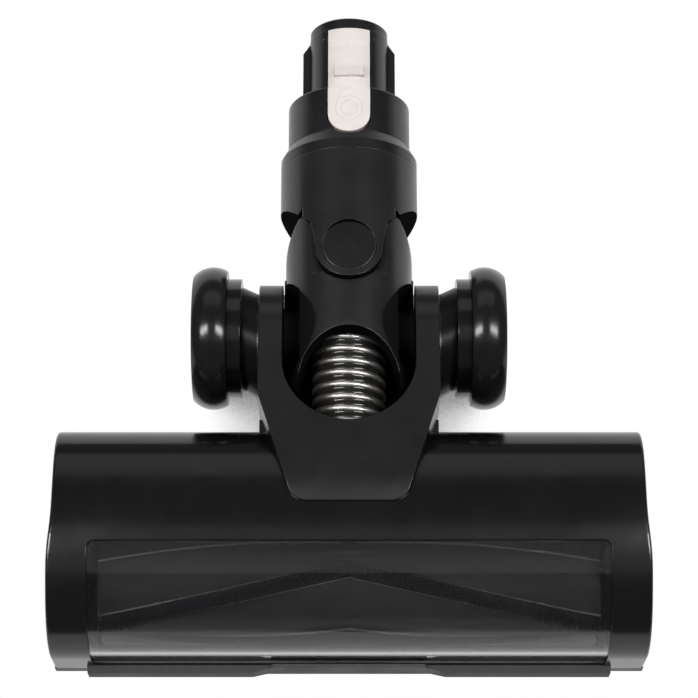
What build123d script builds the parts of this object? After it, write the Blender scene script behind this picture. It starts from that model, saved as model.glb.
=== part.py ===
from build123d import *
import os
from math import cos, pi, radians, sin

# Motor-driven vacuum floor head with a tilting, swivelling neck. Millimetres, +X right, +Y to the
# back, +Z up. The origin is on the floor, midway between the bumper's face and the end of the pipe.

# Reaches, measured along Y from the wheel axis
nose_reach = 136.0
bumper_depth = 2.6
rear_reach = 43.0
pipe_reach = 142.2
wheel_radius = 30.0
axle_y = (nose_reach + bumper_depth - pipe_reach) / 2
axle_z = wheel_radius

# Clearances
running_gap = 0.06
free_gap = 0.3
seat_gap = 0.1

# Head shell
head_width = 241.4
waist_inset = 1.6
rear_inset = 1.3
nose_radius = 29.0
nose_turn = 116.0
roller_z = 24.5
crest_inset = 19.0
crest_z = 56.0
shoulder_z = 31.2
wall = 2.8
sole_z = 2.5
sole_thickness = 2.5
seam_z = 8.0
end_fillet = 1.2
front_y = axle_y - nose_reach
rear_y = axle_y - rear_reach
roller_y = front_y + nose_radius
half_width = head_width / 2
waist_half = half_width - waist_inset
rear_half = half_width - rear_inset

# Window and bumper
window_end_margin = 16.4
window_half = half_width - window_end_margin
window_top_back = 11.6
window_bottom_z = 12.6
window_corner = 3.0
window_recess = 1.2
window_thickness = 2.2
bumper_end_margin = 13.7
bumper_half = half_width - bumper_end_margin
bumper_bottom_z = 1.5
bumper_height = 11.5
bumper_middle_half = 33.6
bumper_setback = 1.5
bumper_rise = 2.5
bumper_bevel = 6.0

# Roller, its tunnel and its drive
end_room = 18.2
bulkhead_inner = half_width - end_room
roller_end_gap = 1.5
roller_half = bulkhead_inner - roller_end_gap
core_radius = 18.6
core_bore = 14.0
strip_tip_radius = 23.4
strip_root_depth = 1.6
strip_width = 7.0
strip_tip_width = 6.0
strip_twist = 68.0
strip_start = 80.0
strip_count = 4
tunnel_radius = 25.6
tunnel_wall = 2.0
tunnel_edge = 16.5
opening_front = 20.0
opening_back = 16.6
opening_corner = 3.0
bulkhead_thickness = 2.0
bulkhead_back = 27.0
bearing_radius = 9.5
bearing_width = 5.0
bearing_boss_wall = 2.5
shaft_radius = 4.0
end_cap_radius = 13.0
end_cap_thickness = 2.4
pulley_gap = 1.0
pulley_width = 6.5
roller_pulley_radius = 11.0
roller_pulley_teeth = 22
motor_pulley_radius = 6.0
motor_pulley_teeth = 12
tooth_depth = 0.9
belt_thickness = 1.4
belt_width = 5.0
motor_inset = 21.0
motor_z = 27.0
motor_radius = 14.5
motor_end_gap = 5.0
motor_length = 57.5
motor_outer = bulkhead_inner - motor_end_gap
motor_inner = motor_outer - motor_length
motor_shaft_radius = 1.6
motor_nose_radius = 6.0
motor_nose_length = 2.4
bracket_thickness = 2.5
bracket_half_depth = 15.0
squeegee_back = 20.4
squeegee_thickness = 1.6
squeegee_end_gap = 4.5
squeegee_half = bulkhead_inner - squeegee_end_gap
squeegee_tip_z = 0.6

# Air path
duct_bore = 12.4
duct_wall = 1.9
duct_start_gap = 0.2
duct_end_reach = 46.0
hose_radius = 15.5
hose_start_reach = 54.0
hose_end = 9.0
liner_wall = 0.8
wire_radius = 1.4
wire_pitch = 5.25
clip_length = 5.0

# Yoke
yoke_arm_inner = 27.6
yoke_arm_outer = 37.3
arm_radius = 22.3
yoke_mouth_reach = 17.2
tongue_shoulder_reach = 33.0
tongue_front_half = 24.4
tongue_front_reach = 79.5
tongue_taper_reach = 74.0
tongue_corner = 7.5
tongue_peak_reach = 66.0
tongue_peak_z = 60.3
tongue_edge_z = 59.7
crossbar_depth = 7.0
crossbar_bottom_z = 9.0
tray_bottom_z = 1.0
tray_floor = 1.4
tray_wall = 2.0
tray_back = 24.0
tray_notch_half = 18.0
tray_notch_back = 14.0
fairing_end = 44.6
fairing_base_radius = 22.0
fairing_base_shift = 4.0
fairing_end_radius = 21.5
yoke_bolt_reach = 30.0
yoke_bolt_back = 15.0

# Wheels
wheel_ring_inner = 44.9
wheel_tyre_inner = 50.8
wheel_tyre_outer = 65.0
wheel_crest_x = 57.0
wheel_ring_radius = 25.0
tyre_inner_edge_radius = 28.3
tyre_outer_edge_radius = 26.4
tyre_bore = 23.0
hub_dish = 3.0
hub_cap_radius = 11.0
hub_cap_thickness = 1.6
axle_radius = 4.0
axle_start = 35.0
axle_collar_radius = 6.5
sole_wheel_radius = 4.0
sole_wheel_inset = 8.7
sole_wheel_x = half_width - sole_wheel_inset
sole_wheel_width = 6.0
sole_wheel_back = 19.0
sole_axle_radius = 1.4
sole_box_wall = 1.6

# Neck
neck_radius = 26.7
neck_bore = 18.5
neck_corner = 9.0
mouth_radius = 21.0
mouth_reach = 24.6
pocket_radius = 23.0
cheek_x = 20.5
trunnion_radius = 8.0
trunnion_end = 34.4
shoulder_radius = 12.0
swivel_back = 31.0
ear_radius = 13.9
ear_plane = 21.7
flat_clear_radius = 14.6
flat_back_margin = 10.0
swivel_pin_radius = 5.0
swivel_pin_depth = 2.6
cap_radius = 11.2
cap_thickness = 2.6
cap_height = 27.9

# Fork, collar and tube
fork_radius = 29.2
fork_cavity = 27.2
fork_notch_side = 55.5
fork_notch_root = 43.0
fork_notch_root_x = 16.0
fork_web = 60.5
fork_seam = 75.0
ring_end = 79.6
bevel_end = 85.0
tube_radius = 26.1
tube_end = 105.5
tube_wall = 2.2
spigot_radius = 24.4
spigot_start = 62.0
pipe_radius = 17.0
plug_nose_radius = 16.8
plug_nose_length = 4.5
plug_nose_start = pipe_reach - plug_nose_length
plug_edge = 0.6
flange_thickness = 2.0
pipe_bore = 13.6
pipe_start = 76.0
rib_reach = 20.0
rib_thickness = 3.3
rib_end_margin = 5.6
rib_end = pipe_reach - rib_end_margin
rib_chamfer = 4.5
contact_half = 7.0
contact_top = -8.6
contact_length = 26.0
contact_start = pipe_reach - contact_length
contact_setback = 3.0
contact_pin_radius = 1.1
contact_pin_spread = 4.0

# Latch
latch_half = 9.0
latch_gap = 0.3
latch_start = 84.0
latch_end_margin = 5.0
latch_end = pipe_reach - latch_end_margin
latch_swing_room = 1.4
latch_hinge_margin = 8.5
latch_hinge = pipe_reach - latch_hinge_margin
latch_hinge_height = 12.0
latch_lug_radius = 1.9
latch_pin_radius = 0.9
latch_pin_half = 11.2
latch_floor = 9.6
latch_floor_wall = 1.3
latch_plate_bottom = 12.8
latch_pad_bottom = 22.2
latch_riser = 3.0
hook_half = 6.2
hook_length = 5.3
hook_end_margin = 23.0
hook_end = pipe_reach - hook_end_margin
hook_start = hook_end - hook_length
hook_height = 1.8
dimple_radius = 6.0
dimple_depth = 0.7
dimple_back = 97.0
spring_radius = 2.8
spring_wire = 0.5
spring_turns = 3.0
spring_back = 93.0

# Screws
screw_head_radius = 2.7
screw_head_height = 1.8
screw_shank_radius = 1.4
boss_radius = 3.6
housing_screw_inset = 9.7
housing_screw_x = half_width - housing_screw_inset
housing_screw_margin = 7.0
housing_screw_top_z = 20.0
neck_screw_x = 22.6
neck_screw_back = 26.0
neck_screw_bottom_z = 18.5
neck_screw_top_z = 38.0

# Places worked out from the sizes above
ample = 400.0
swivel_y = axle_y + swivel_back
pipe_end_y = axle_y + pipe_reach
axle_line = Axis((0, axle_y, axle_z), (1, 0, 0))
tube_line = Axis((0, axle_y, axle_z), (0, 1, 0))
roller_line = Axis((0, roller_y, roller_z), (1, 0, 0))
motor_y = rear_y - motor_inset
tunnel_inset = window_recess + window_thickness + seat_gap

os.makedirs("parts", exist_ok=True)


def keep(piece, name):
    """Labels a finished piece and writes it."""
    piece.part.label = name
    export_step(piece.part, f"parts/{name}.step")


def facing_front(y):
    """The plane across the head at y: its own x is +X, its own y is +Z, and it faces -Y."""
    return Plane.XZ.offset(-y)


def tube_section(y):
    """The same plane, with its origin on the tube's axis."""
    return Plane(origin=(0, y, axle_z), x_dir=(1, 0, 0), z_dir=(0, -1, 0))


def side_on(x, line):
    """The plane across X at x, with its origin on an axis: its own x is +Y and its own y is +Z."""
    return Plane(origin=(x, line.position.Y, line.position.Z), x_dir=(0, 1, 0), z_dir=(1, 0, 0))


def disc(x0, x1, radius, line=axle_line, bore=0.0):
    """A round piece about an axis along X, from x0 to x1."""
    with BuildPart() as piece:
        with BuildSketch(side_on(x0, line)):
            Circle(radius)
            if bore > 0:
                Circle(bore, mode=Mode.SUBTRACT)
        extrude(amount=x1 - x0)
    return piece.part


def barrel(y0, y1, radius, bore=0.0):
    """A round piece about the tube's axis, from y0 to y1."""
    with BuildPart() as piece:
        with BuildSketch(tube_section(y0)):
            Circle(radius)
            if bore > 0:
                Circle(bore, mode=Mode.SUBTRACT)
        extrude(amount=y0 - y1)
    return piece.part


def screw(x, y, bottom_z, top_z):
    """A pan-head screw driven upwards."""
    with BuildPart() as piece:
        with BuildSketch(Plane.XY.offset(bottom_z)):
            with Locations((x, y)):
                Circle(screw_head_radius)
        extrude(amount=screw_head_height)
        with BuildSketch(Plane.XY.offset(bottom_z)):
            with Locations((x, y)):
                Circle(screw_shank_radius)
        extrude(amount=top_z - bottom_z)
    return piece.part


def screw_hole(x, y, open_z, bottom_z, top_z):
    """The room that a screw takes, open downwards to open_z."""
    with BuildPart() as room:
        with BuildSketch(Plane.XY.offset(open_z)):
            with Locations((x, y)):
                Circle(screw_head_radius + seat_gap)
        extrude(amount=bottom_z + screw_head_height - open_z)
        with BuildSketch(Plane.XY.offset(open_z)):
            with Locations((x, y)):
                Circle(screw_shank_radius + seat_gap / 2)
        extrude(amount=top_z + seat_gap - open_z)
    return room.part


def head_block(inset):
    """The head's outer form, moved inwards by inset and running on below the floor."""
    turn = radians(nose_turn)
    nose_end = (roller_y + nose_radius * cos(turn), roller_z + nose_radius * sin(turn))
    with BuildPart() as block:
        with BuildSketch(Plane.YZ):
            with BuildLine():
                front = Line((front_y, -head_width), (front_y, roller_z))
                nose = TangentArc(front @ 1, nose_end, tangent=front % 1)
                roof = TangentArc(nose @ 1, (rear_y - crest_inset, crest_z), tangent=nose % 1)
                back = TangentArc(roof @ 1, (rear_y, shoulder_z), tangent=roof % 1)
                rear = Line(back @ 1, (rear_y, -head_width))
                Line(rear @ 1, front @ 0)
            make_face()
            if inset > 0:
                offset(amount=-inset)
        extrude(amount=head_width, both=True)
        with BuildSketch(Plane.XY):
            with BuildLine():
                nose_side = Line((half_width, front_y - nose_radius), (half_width, roller_y))
                bulge = TangentArc(
                    nose_side @ 1,
                    ((half_width + waist_half) / 2, roller_y + nose_radius / 2),
                    tangent=nose_side % 1,
                )
                waist = TangentArc(
                    bulge @ 1, (waist_half, roller_y + nose_radius), tangent=bulge % 1
                )
                tail = TangentArc(waist @ 1, (rear_half, rear_y), tangent=waist % 1)
                end = Line(tail @ 1, (rear_half, rear_y + nose_radius))
                Line(end @ 1, (0, rear_y + nose_radius))
                Line((0, front_y - nose_radius), nose_side @ 0)
                mirror(about=Plane.YZ)
            make_face()
            if inset > 0:
                offset(amount=-inset)
        extrude(amount=head_width, both=True, mode=Mode.INTERSECT)
    return block.part


outer_block = head_block(0)
cavity_block = head_block(wall)
tunnel_block = head_block(tunnel_inset)
window_top_y = roller_y + window_top_back
window_depth = window_top_back + 2 * nose_radius
duct_start = roller_y + tunnel_edge + tunnel_wall + duct_start_gap
duct_socket = hose_radius + seat_gap
liner_radius = hose_radius - 2 * wire_radius - seat_gap
duct_outer = duct_socket + duct_wall
plate_top_z = sole_z + sole_thickness
bulkhead_outer = bulkhead_inner + bulkhead_thickness
bearing_outer = bulkhead_inner + bearing_width
pulley_inner = bearing_outer + pulley_gap
pulley_outer = pulley_inner + pulley_width
motor_line = Axis((0, motor_y, motor_z), (1, 0, 0))
sole_wheel_line = Axis((0, front_y + sole_wheel_back, sole_wheel_radius), (1, 0, 0))
latch_line = Axis((0, axle_y + latch_hinge, axle_z + latch_hinge_height), (1, 0, 0))
housing_screw_places = [
    (side * housing_screw_x, y)
    for side in (-1, 1)
    for y in (front_y + housing_screw_margin, rear_y - housing_screw_margin)
]
yoke_screw_places = [
    (side * (yoke_arm_inner + yoke_arm_outer) / 2, axle_y + back)
    for side in (-1, 1)
    for back in (-yoke_bolt_reach, yoke_bolt_back)
]
neck_screw_places = [(side * neck_screw_x, axle_y + neck_screw_back) for side in (-1, 1)]
sides = {"left": -1, "right": 1}

# Upper housing: a thin shell open below, with the window's opening, the hose's exit and screw posts
with BuildPart() as upper_housing:
    add(outer_block)
    split(bisect_by=Plane.XY.offset(seam_z), keep=Keep.TOP)
    end_edges = upper_housing.edges().filter_by(
        lambda edge: abs(edge.center().X) > rear_half - wall and edge.center().Z > seam_z + wall
    )
    fillet(end_edges.filter_by(Axis.Z, reverse=True), end_fillet)
    add(cavity_block, mode=Mode.SUBTRACT)
    with BuildSketch(Plane.XY.offset(seam_z)):
        with Locations(*housing_screw_places):
            Circle(boss_radius)
    extrude(amount=crest_z)
    add(outer_block, mode=Mode.INTERSECT)
    with BuildSketch(Plane.XY.offset(window_bottom_z)):
        with Locations((0, window_top_y - window_depth / 2)):
            RectangleRounded(2 * (window_half + seat_gap), window_depth, window_corner)
    extrude(amount=ample, mode=Mode.SUBTRACT)
    add(barrel(duct_start, axle_y, duct_outer + seat_gap), mode=Mode.SUBTRACT)
    for x, y in housing_screw_places:
        add(screw_hole(x, y, 0, sole_z, housing_screw_top_z), mode=Mode.SUBTRACT)
keep(upper_housing, "upper_housing")

# Smoked window: a curved sheet that lies just below the housing's surface
with BuildPart() as window:
    add(head_block(window_recess))
    add(head_block(window_recess + window_thickness), mode=Mode.SUBTRACT)
    with BuildSketch(Plane.XY.offset(window_bottom_z + seat_gap)):
        with Locations((0, window_top_y - seat_gap - window_depth / 2)):
            RectangleRounded(2 * window_half, window_depth, window_corner)
    extrude(amount=ample, mode=Mode.INTERSECT)
keep(window, "window")

# Front bumper: a rubber strip whose middle is set back and stands taller
with BuildPart() as front_bumper:
    with BuildSketch(Plane.YZ):
        with BuildLine():
            Polyline(
                (front_y, bumper_bottom_z),
                (front_y - bumper_depth, bumper_bottom_z + bumper_depth / 2),
                (front_y - bumper_depth, bumper_bottom_z + bumper_height - bumper_depth),
                (front_y, bumper_bottom_z + bumper_height),
                close=True,
            )
        make_face()
    extrude(amount=bumper_half, both=True)
    with BuildSketch(Plane.XY):
        with BuildLine():
            Polyline(
                (-bumper_middle_half - bumper_bevel, front_y - bumper_depth),
                (-bumper_middle_half, front_y - bumper_depth + bumper_setback),
                (bumper_middle_half, front_y - bumper_depth + bumper_setback),
                (bumper_middle_half + bumper_bevel, front_y - bumper_depth),
                close=True,
            )
        make_face()
    extrude(amount=ample, mode=Mode.SUBTRACT)
    with BuildSketch(facing_front(front_y)):
        with BuildLine():
            Polyline(
                (-bumper_middle_half, bumper_bottom_z + bumper_height / 2),
                (-bumper_middle_half + bumper_rise, bumper_bottom_z + bumper_height + bumper_rise),
                (bumper_middle_half - bumper_rise, bumper_bottom_z + bumper_height + bumper_rise),
                (bumper_middle_half, bumper_bottom_z + bumper_height / 2),
                close=True,
            )
        make_face()
    extrude(amount=bumper_depth - bumper_setback)
keep(front_bumper, "front_bumper")

# Base plate: a tray with the roller's opening, the motor's cradle and pockets for the sole wheels
with BuildPart() as tray_room:
    add(cavity_block)
    split(bisect_by=Plane.XY.offset(plate_top_z), keep=Keep.TOP)

with BuildPart() as base_plate:
    add(outer_block)
    split(bisect_by=Plane.XY.offset(seam_z), keep=Keep.BOTTOM)
    split(bisect_by=Plane.XY.offset(sole_z), keep=Keep.TOP)
    add(tray_room.part, mode=Mode.SUBTRACT)
    with BuildSketch(Plane.XY.offset(sole_z)):
        for side in sides.values():
            with Locations((side * sole_wheel_x, front_y + sole_wheel_back)):
                Rectangle(
                    sole_wheel_width + 2 * (free_gap + sole_box_wall),
                    2 * (sole_wheel_radius + 2 * free_gap + sole_box_wall),
                )
    extrude(amount=2 * sole_wheel_radius + 2 * free_gap + sole_box_wall - sole_z)
    with BuildSketch(Plane.XY.offset(sole_z)):
        with Locations((-motor_inner - motor_radius, motor_y)):
            Rectangle(bracket_thickness, 2 * motor_radius)
    extrude(amount=motor_z - motor_radius / 2 - sole_z)
    add(
        disc(-motor_outer, -motor_inner, motor_radius + seat_gap / 2, line=motor_line),
        mode=Mode.SUBTRACT,
    )
    with BuildSketch(Plane.XY):
        with Locations((0, roller_y + (opening_back - opening_front) / 2)):
            RectangleRounded(
                2 * bulkhead_inner - 2 * free_gap, opening_front + opening_back, opening_corner
            )
    extrude(amount=plate_top_z, mode=Mode.SUBTRACT)
    with BuildSketch(Plane.XY.offset(sole_z)):
        with Locations((0, roller_y + squeegee_back)):
            Rectangle(2 * (squeegee_half + seat_gap), squeegee_thickness + seat_gap)
    extrude(amount=sole_thickness / 2, mode=Mode.SUBTRACT)
    for side in sides.values():
        reach = sole_wheel_width / 2 + free_gap
        add(
            disc(
                side * sole_wheel_x - reach,
                side * sole_wheel_x + reach,
                sole_wheel_radius + 2 * free_gap,
                line=sole_wheel_line,
            ),
            mode=Mode.SUBTRACT,
        )
        add(
            disc(
                side * sole_wheel_x - reach - sole_box_wall,
                side * sole_wheel_x + reach + sole_box_wall,
                sole_axle_radius,
                line=sole_wheel_line,
            ),
            mode=Mode.SUBTRACT,
        )
    for x, y in housing_screw_places:
        add(screw_hole(x, y, 0, sole_z, housing_screw_top_z), mode=Mode.SUBTRACT)
keep(base_plate, "base_plate")

with BuildPart() as rear_squeegee:
    with BuildSketch(Plane.XY.offset(squeegee_tip_z)):
        with Locations((0, roller_y + squeegee_back)):
            Rectangle(2 * squeegee_half, squeegee_thickness)
    extrude(amount=sole_z + sole_thickness / 2 - squeegee_tip_z)
keep(rear_squeegee, "rear_squeegee")

with BuildPart() as housing_screws:
    for x, y in housing_screw_places:
        add(screw(x, y, sole_z, housing_screw_top_z))
keep(housing_screws, "housing_screws")

# Roller tunnel: the curved wall behind the roller, with a bulkhead and a bearing seat at each end
with BuildPart() as roller_tunnel:
    with BuildSketch(side_on(-bulkhead_outer, roller_line)):
        Circle(tunnel_radius + tunnel_wall)
        with Locations((tunnel_edge + nose_radius, 0)):
            Rectangle(2 * nose_radius, 4 * nose_radius, mode=Mode.INTERSECT)
        with Locations((tunnel_edge + tunnel_wall / 2, nose_radius)):
            Rectangle(tunnel_wall, 2 * nose_radius)
        Circle(tunnel_radius, mode=Mode.SUBTRACT)
    extrude(amount=2 * bulkhead_outer)
    for side in sides.values():
        with BuildSketch(Plane.YZ.offset(side * bulkhead_inner)):
            with Locations((roller_y + bulkhead_back - nose_reach / 2, roller_z)):
                Rectangle(nose_reach, ample)
        extrude(amount=side * bulkhead_thickness)
        add(
            disc(
                side * bulkhead_inner,
                side * bearing_outer,
                bearing_radius + bearing_boss_wall,
                line=roller_line,
            )
        )
    add(tunnel_block, mode=Mode.INTERSECT)
    split(bisect_by=Plane.XY.offset(plate_top_z), keep=Keep.TOP)
    add(disc(-ample, ample, bearing_radius, line=roller_line), mode=Mode.SUBTRACT)
    add(barrel(roller_y, rear_y, duct_bore), mode=Mode.SUBTRACT)
keep(roller_tunnel, "roller_tunnel")

# Suction duct: from the tunnel's throat to a socket for the hose in the rear wall
with BuildPart() as suction_duct:
    add(barrel(duct_start, axle_y - duct_end_reach, duct_bore + duct_wall))
    add(barrel(axle_y - hose_start_reach - duct_wall, axle_y - duct_end_reach, duct_outer))
    add(barrel(duct_start, axle_y, duct_bore), mode=Mode.SUBTRACT)
    add(barrel(axle_y - hose_start_reach - seat_gap, axle_y, duct_socket), mode=Mode.SUBTRACT)
    add(
        disc(-duct_outer, duct_outer, tunnel_radius + tunnel_wall + seat_gap / 2, line=roller_line),
        mode=Mode.SUBTRACT,
    )
keep(suction_duct, "suction_duct")

# Roller: a tube on a shaft, with strips that twist one way on the left half and the other on the right
with BuildPart() as roller_core:
    add(disc(-roller_half, roller_half, core_radius, line=roller_line, bore=core_bore))
keep(roller_core, "roller_core")

for index in range(strip_count):
    strip_name = f"bristle_strip_{index + 1}"
    with BuildSketch(side_on(0, roller_line)) as strip_section:
        with BuildLine():
            Polyline(
                (core_radius - strip_root_depth, -strip_width / 2),
                (strip_tip_radius, -strip_tip_width / 2),
                (strip_tip_radius, strip_tip_width / 2),
                (core_radius - strip_root_depth, strip_width / 2),
                close=True,
            )
        make_face()
    turned = strip_section.sketch.face().rotate(roller_line, strip_start + index * 360 / strip_count)
    with BuildPart() as bristle_strip:
        for side in sides.values():
            add(
                Solid.extrude_linear_with_rotation(
                    turned,
                    center=roller_line.position,
                    normal=(side * roller_half, 0, 0),
                    angle=side * strip_twist,
                )
            )
    keep(bristle_strip, strip_name)

for name, side in sides.items():
    plug_inner = side * (roller_half - bearing_radius)
    with BuildPart() as roller_plug:
        add(disc(plug_inner, side * roller_half, core_bore, line=roller_line, bore=shaft_radius))
    keep(roller_plug, f"roller_plug_{name}")
    with BuildPart() as roller_bearing:
        add(
            disc(
                side * bulkhead_inner,
                side * bearing_outer,
                bearing_radius,
                line=roller_line,
                bore=shaft_radius + running_gap,
            )
        )
    keep(roller_bearing, f"roller_bearing_{name}")

with BuildPart() as roller_shaft:
    add(disc(-pulley_outer, bearing_outer - free_gap, shaft_radius, line=roller_line))
keep(roller_shaft, "roller_shaft")

with BuildPart() as roller_end_cap:
    add(disc(bearing_outer, bearing_outer + end_cap_thickness, end_cap_radius, line=roller_line))
    fillet(roller_end_cap.edges().sort_by(Axis.X)[-1], end_cap_thickness / 2)
keep(roller_end_cap, "roller_end_cap")


def toothed_pulley(radius, teeth, bore, line):
    """A toothed pulley in the drive compartment at the left end."""
    with BuildPart() as pulley:
        with BuildSketch(side_on(-pulley_outer, line)):
            Circle(radius)
            with PolarLocations(radius, teeth):
                Rectangle(2 * tooth_depth, pi * radius / teeth, mode=Mode.SUBTRACT)
            Circle(bore, mode=Mode.SUBTRACT)
        extrude(amount=pulley_width)
    return pulley


keep(
    toothed_pulley(roller_pulley_radius, roller_pulley_teeth, shaft_radius, roller_line),
    "roller_pulley",
)
keep(
    toothed_pulley(motor_pulley_radius, motor_pulley_teeth, motor_shaft_radius, motor_line),
    "motor_pulley",
)

with BuildPart() as drive_belt:
    belt_seat = 2 * running_gap
    for thickness, mode in ((belt_thickness, Mode.ADD), (0, Mode.SUBTRACT)):
        with BuildSketch(side_on(-(pulley_inner + pulley_width / 2 + belt_width / 2), roller_line)):
            Circle(roller_pulley_radius + belt_seat + thickness)
            with Locations((motor_y - roller_y, motor_z - roller_z)):
                Circle(motor_pulley_radius + belt_seat + thickness)
            make_hull()
        extrude(amount=belt_width, mode=mode)
keep(drive_belt, "drive_belt")

with BuildPart() as drive_motor:
    add(disc(-motor_outer, -motor_inner, motor_radius, line=motor_line))
    fillet(drive_motor.edges(), bracket_thickness / 2)
    add(disc(-motor_outer - motor_nose_length, -motor_outer, motor_nose_radius, line=motor_line))
    add(
        disc(
            -motor_outer - motor_nose_length,
            -motor_inner - motor_radius,
            motor_shaft_radius + running_gap,
            line=motor_line,
        ),
        mode=Mode.SUBTRACT,
    )
keep(drive_motor, "drive_motor")

with BuildPart() as motor_shaft:
    add(
        disc(
            -pulley_outer,
            -motor_inner - motor_radius - free_gap,
            motor_shaft_radius,
            line=motor_line,
        )
    )
keep(motor_shaft, "motor_shaft")

with BuildPart() as motor_bracket:
    with BuildSketch(side_on(-motor_outer - bracket_thickness, motor_line)):
        Circle(bracket_half_depth)
        with Locations((0, (plate_top_z - motor_z) / 2)):
            Rectangle(2 * bracket_half_depth, motor_z - plate_top_z)
        Circle(motor_nose_radius + seat_gap / 2, mode=Mode.SUBTRACT)
    extrude(amount=bracket_thickness)
keep(motor_bracket, "motor_bracket")

# Yoke: two arms and a tongue on top of the head, parted at the height of the wheel axis
with BuildPart() as yoke_whole:
    with BuildSketch(Plane.XY):
        with BuildLine():
            back_edge = Line((0, axle_y + arm_radius), (yoke_arm_outer, axle_y + arm_radius))
            arm_edge = Line(back_edge @ 1, (yoke_arm_outer, axle_y - tongue_shoulder_reach))
            taper = Line(arm_edge @ 1, (tongue_front_half, axle_y - tongue_taper_reach))
            corner = TangentArc(
                taper @ 1,
                (tongue_front_half - tongue_corner, axle_y - tongue_front_reach),
                tangent=taper % 1,
            )
            Line(corner @ 1, (0, axle_y - tongue_front_reach))
            mirror(about=Plane.YZ)
        make_face()
        with Locations((0, axle_y - yoke_mouth_reach)):
            Circle(yoke_arm_inner, mode=Mode.SUBTRACT)
        with Locations((0, axle_y - yoke_mouth_reach + ample / 2)):
            Rectangle(2 * yoke_arm_inner, ample, mode=Mode.SUBTRACT)
    extrude(amount=ample, both=True)
    with BuildSketch(Plane.YZ):
        with Locations((axle_y, axle_z)):
            Circle(arm_radius)
        with BuildLine():
            top = Line((axle_y, axle_z + arm_radius), (axle_y - tongue_peak_reach, tongue_peak_z))
            brow = TangentArc(top @ 1, (axle_y - tongue_front_reach, tongue_edge_z), tangent=top % 1)
            Polyline(
                brow @ 1,
                (axle_y - tongue_front_reach, axle_z),
                (rear_y, crossbar_bottom_z),
                (axle_y, axle_z - arm_radius),
                top @ 0,
            )
        make_face()
    extrude(amount=ample, both=True, mode=Mode.INTERSECT)
    with BuildSketch(Plane.XY.offset(crossbar_bottom_z)):
        with Locations((0, rear_y + crossbar_depth / 2)):
            Rectangle(2 * yoke_arm_outer, crossbar_depth)
    extrude(amount=axle_z - crossbar_bottom_z)
    tray_half = yoke_arm_inner + tray_wall
    tray_top_z = axle_z - arm_radius / 2
    with BuildSketch(Plane.XY.offset(tray_bottom_z)):
        with Locations((0, (rear_y + axle_y + tray_back) / 2)):
            Rectangle(2 * tray_half, axle_y + tray_back - rear_y)
        with Locations((0, axle_y + tray_notch_back + ample / 2)):
            Rectangle(2 * tray_notch_half, ample, mode=Mode.SUBTRACT)
    extrude(amount=tray_top_z - tray_bottom_z)
    with BuildSketch(Plane.XY.offset(tray_bottom_z + tray_floor)):
        with Locations((0, rear_y + crossbar_depth + ample / 2)):
            Rectangle(2 * yoke_arm_inner, ample)
    extrude(amount=tray_top_z - tray_bottom_z - tray_floor, mode=Mode.SUBTRACT)
    for side in sides.values():
        with BuildSketch(side_on(side * yoke_arm_outer, axle_line)):
            with Locations((-fairing_base_shift, 0)):
                Circle(fairing_base_radius)
        with BuildSketch(side_on(side * fairing_end, axle_line)):
            Circle(fairing_end_radius)
        loft()
    add(outer_block, mode=Mode.SUBTRACT)
    add(barrel(duct_start, axle_y, duct_outer + seat_gap), mode=Mode.SUBTRACT)
    for side in sides.values():
        add(
            disc(side * cheek_x, side * (axle_start - seat_gap), trunnion_radius + running_gap),
            mode=Mode.SUBTRACT,
        )
        add(disc(side * cheek_x, side * ample, axle_radius), mode=Mode.SUBTRACT)
    for x, y in yoke_screw_places:
        add(
            screw_hole(x, y, 0, axle_z - arm_radius / 2, axle_z + arm_radius / 2),
            mode=Mode.SUBTRACT,
        )

with BuildPart() as yoke_cover:
    add(yoke_whole.part)
    split(bisect_by=Plane.XY.offset(axle_z), keep=Keep.TOP)
keep(yoke_cover, "yoke_cover")

with BuildPart() as yoke_base:
    add(yoke_whole.part)
    split(bisect_by=Plane.XY.offset(axle_z), keep=Keep.BOTTOM)
keep(yoke_base, "yoke_base")

with BuildPart() as yoke_screws:
    for x, y in yoke_screw_places:
        add(screw(x, y, axle_z - arm_radius / 2, axle_z + arm_radius / 2))
keep(yoke_screws, "yoke_screws")

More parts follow.
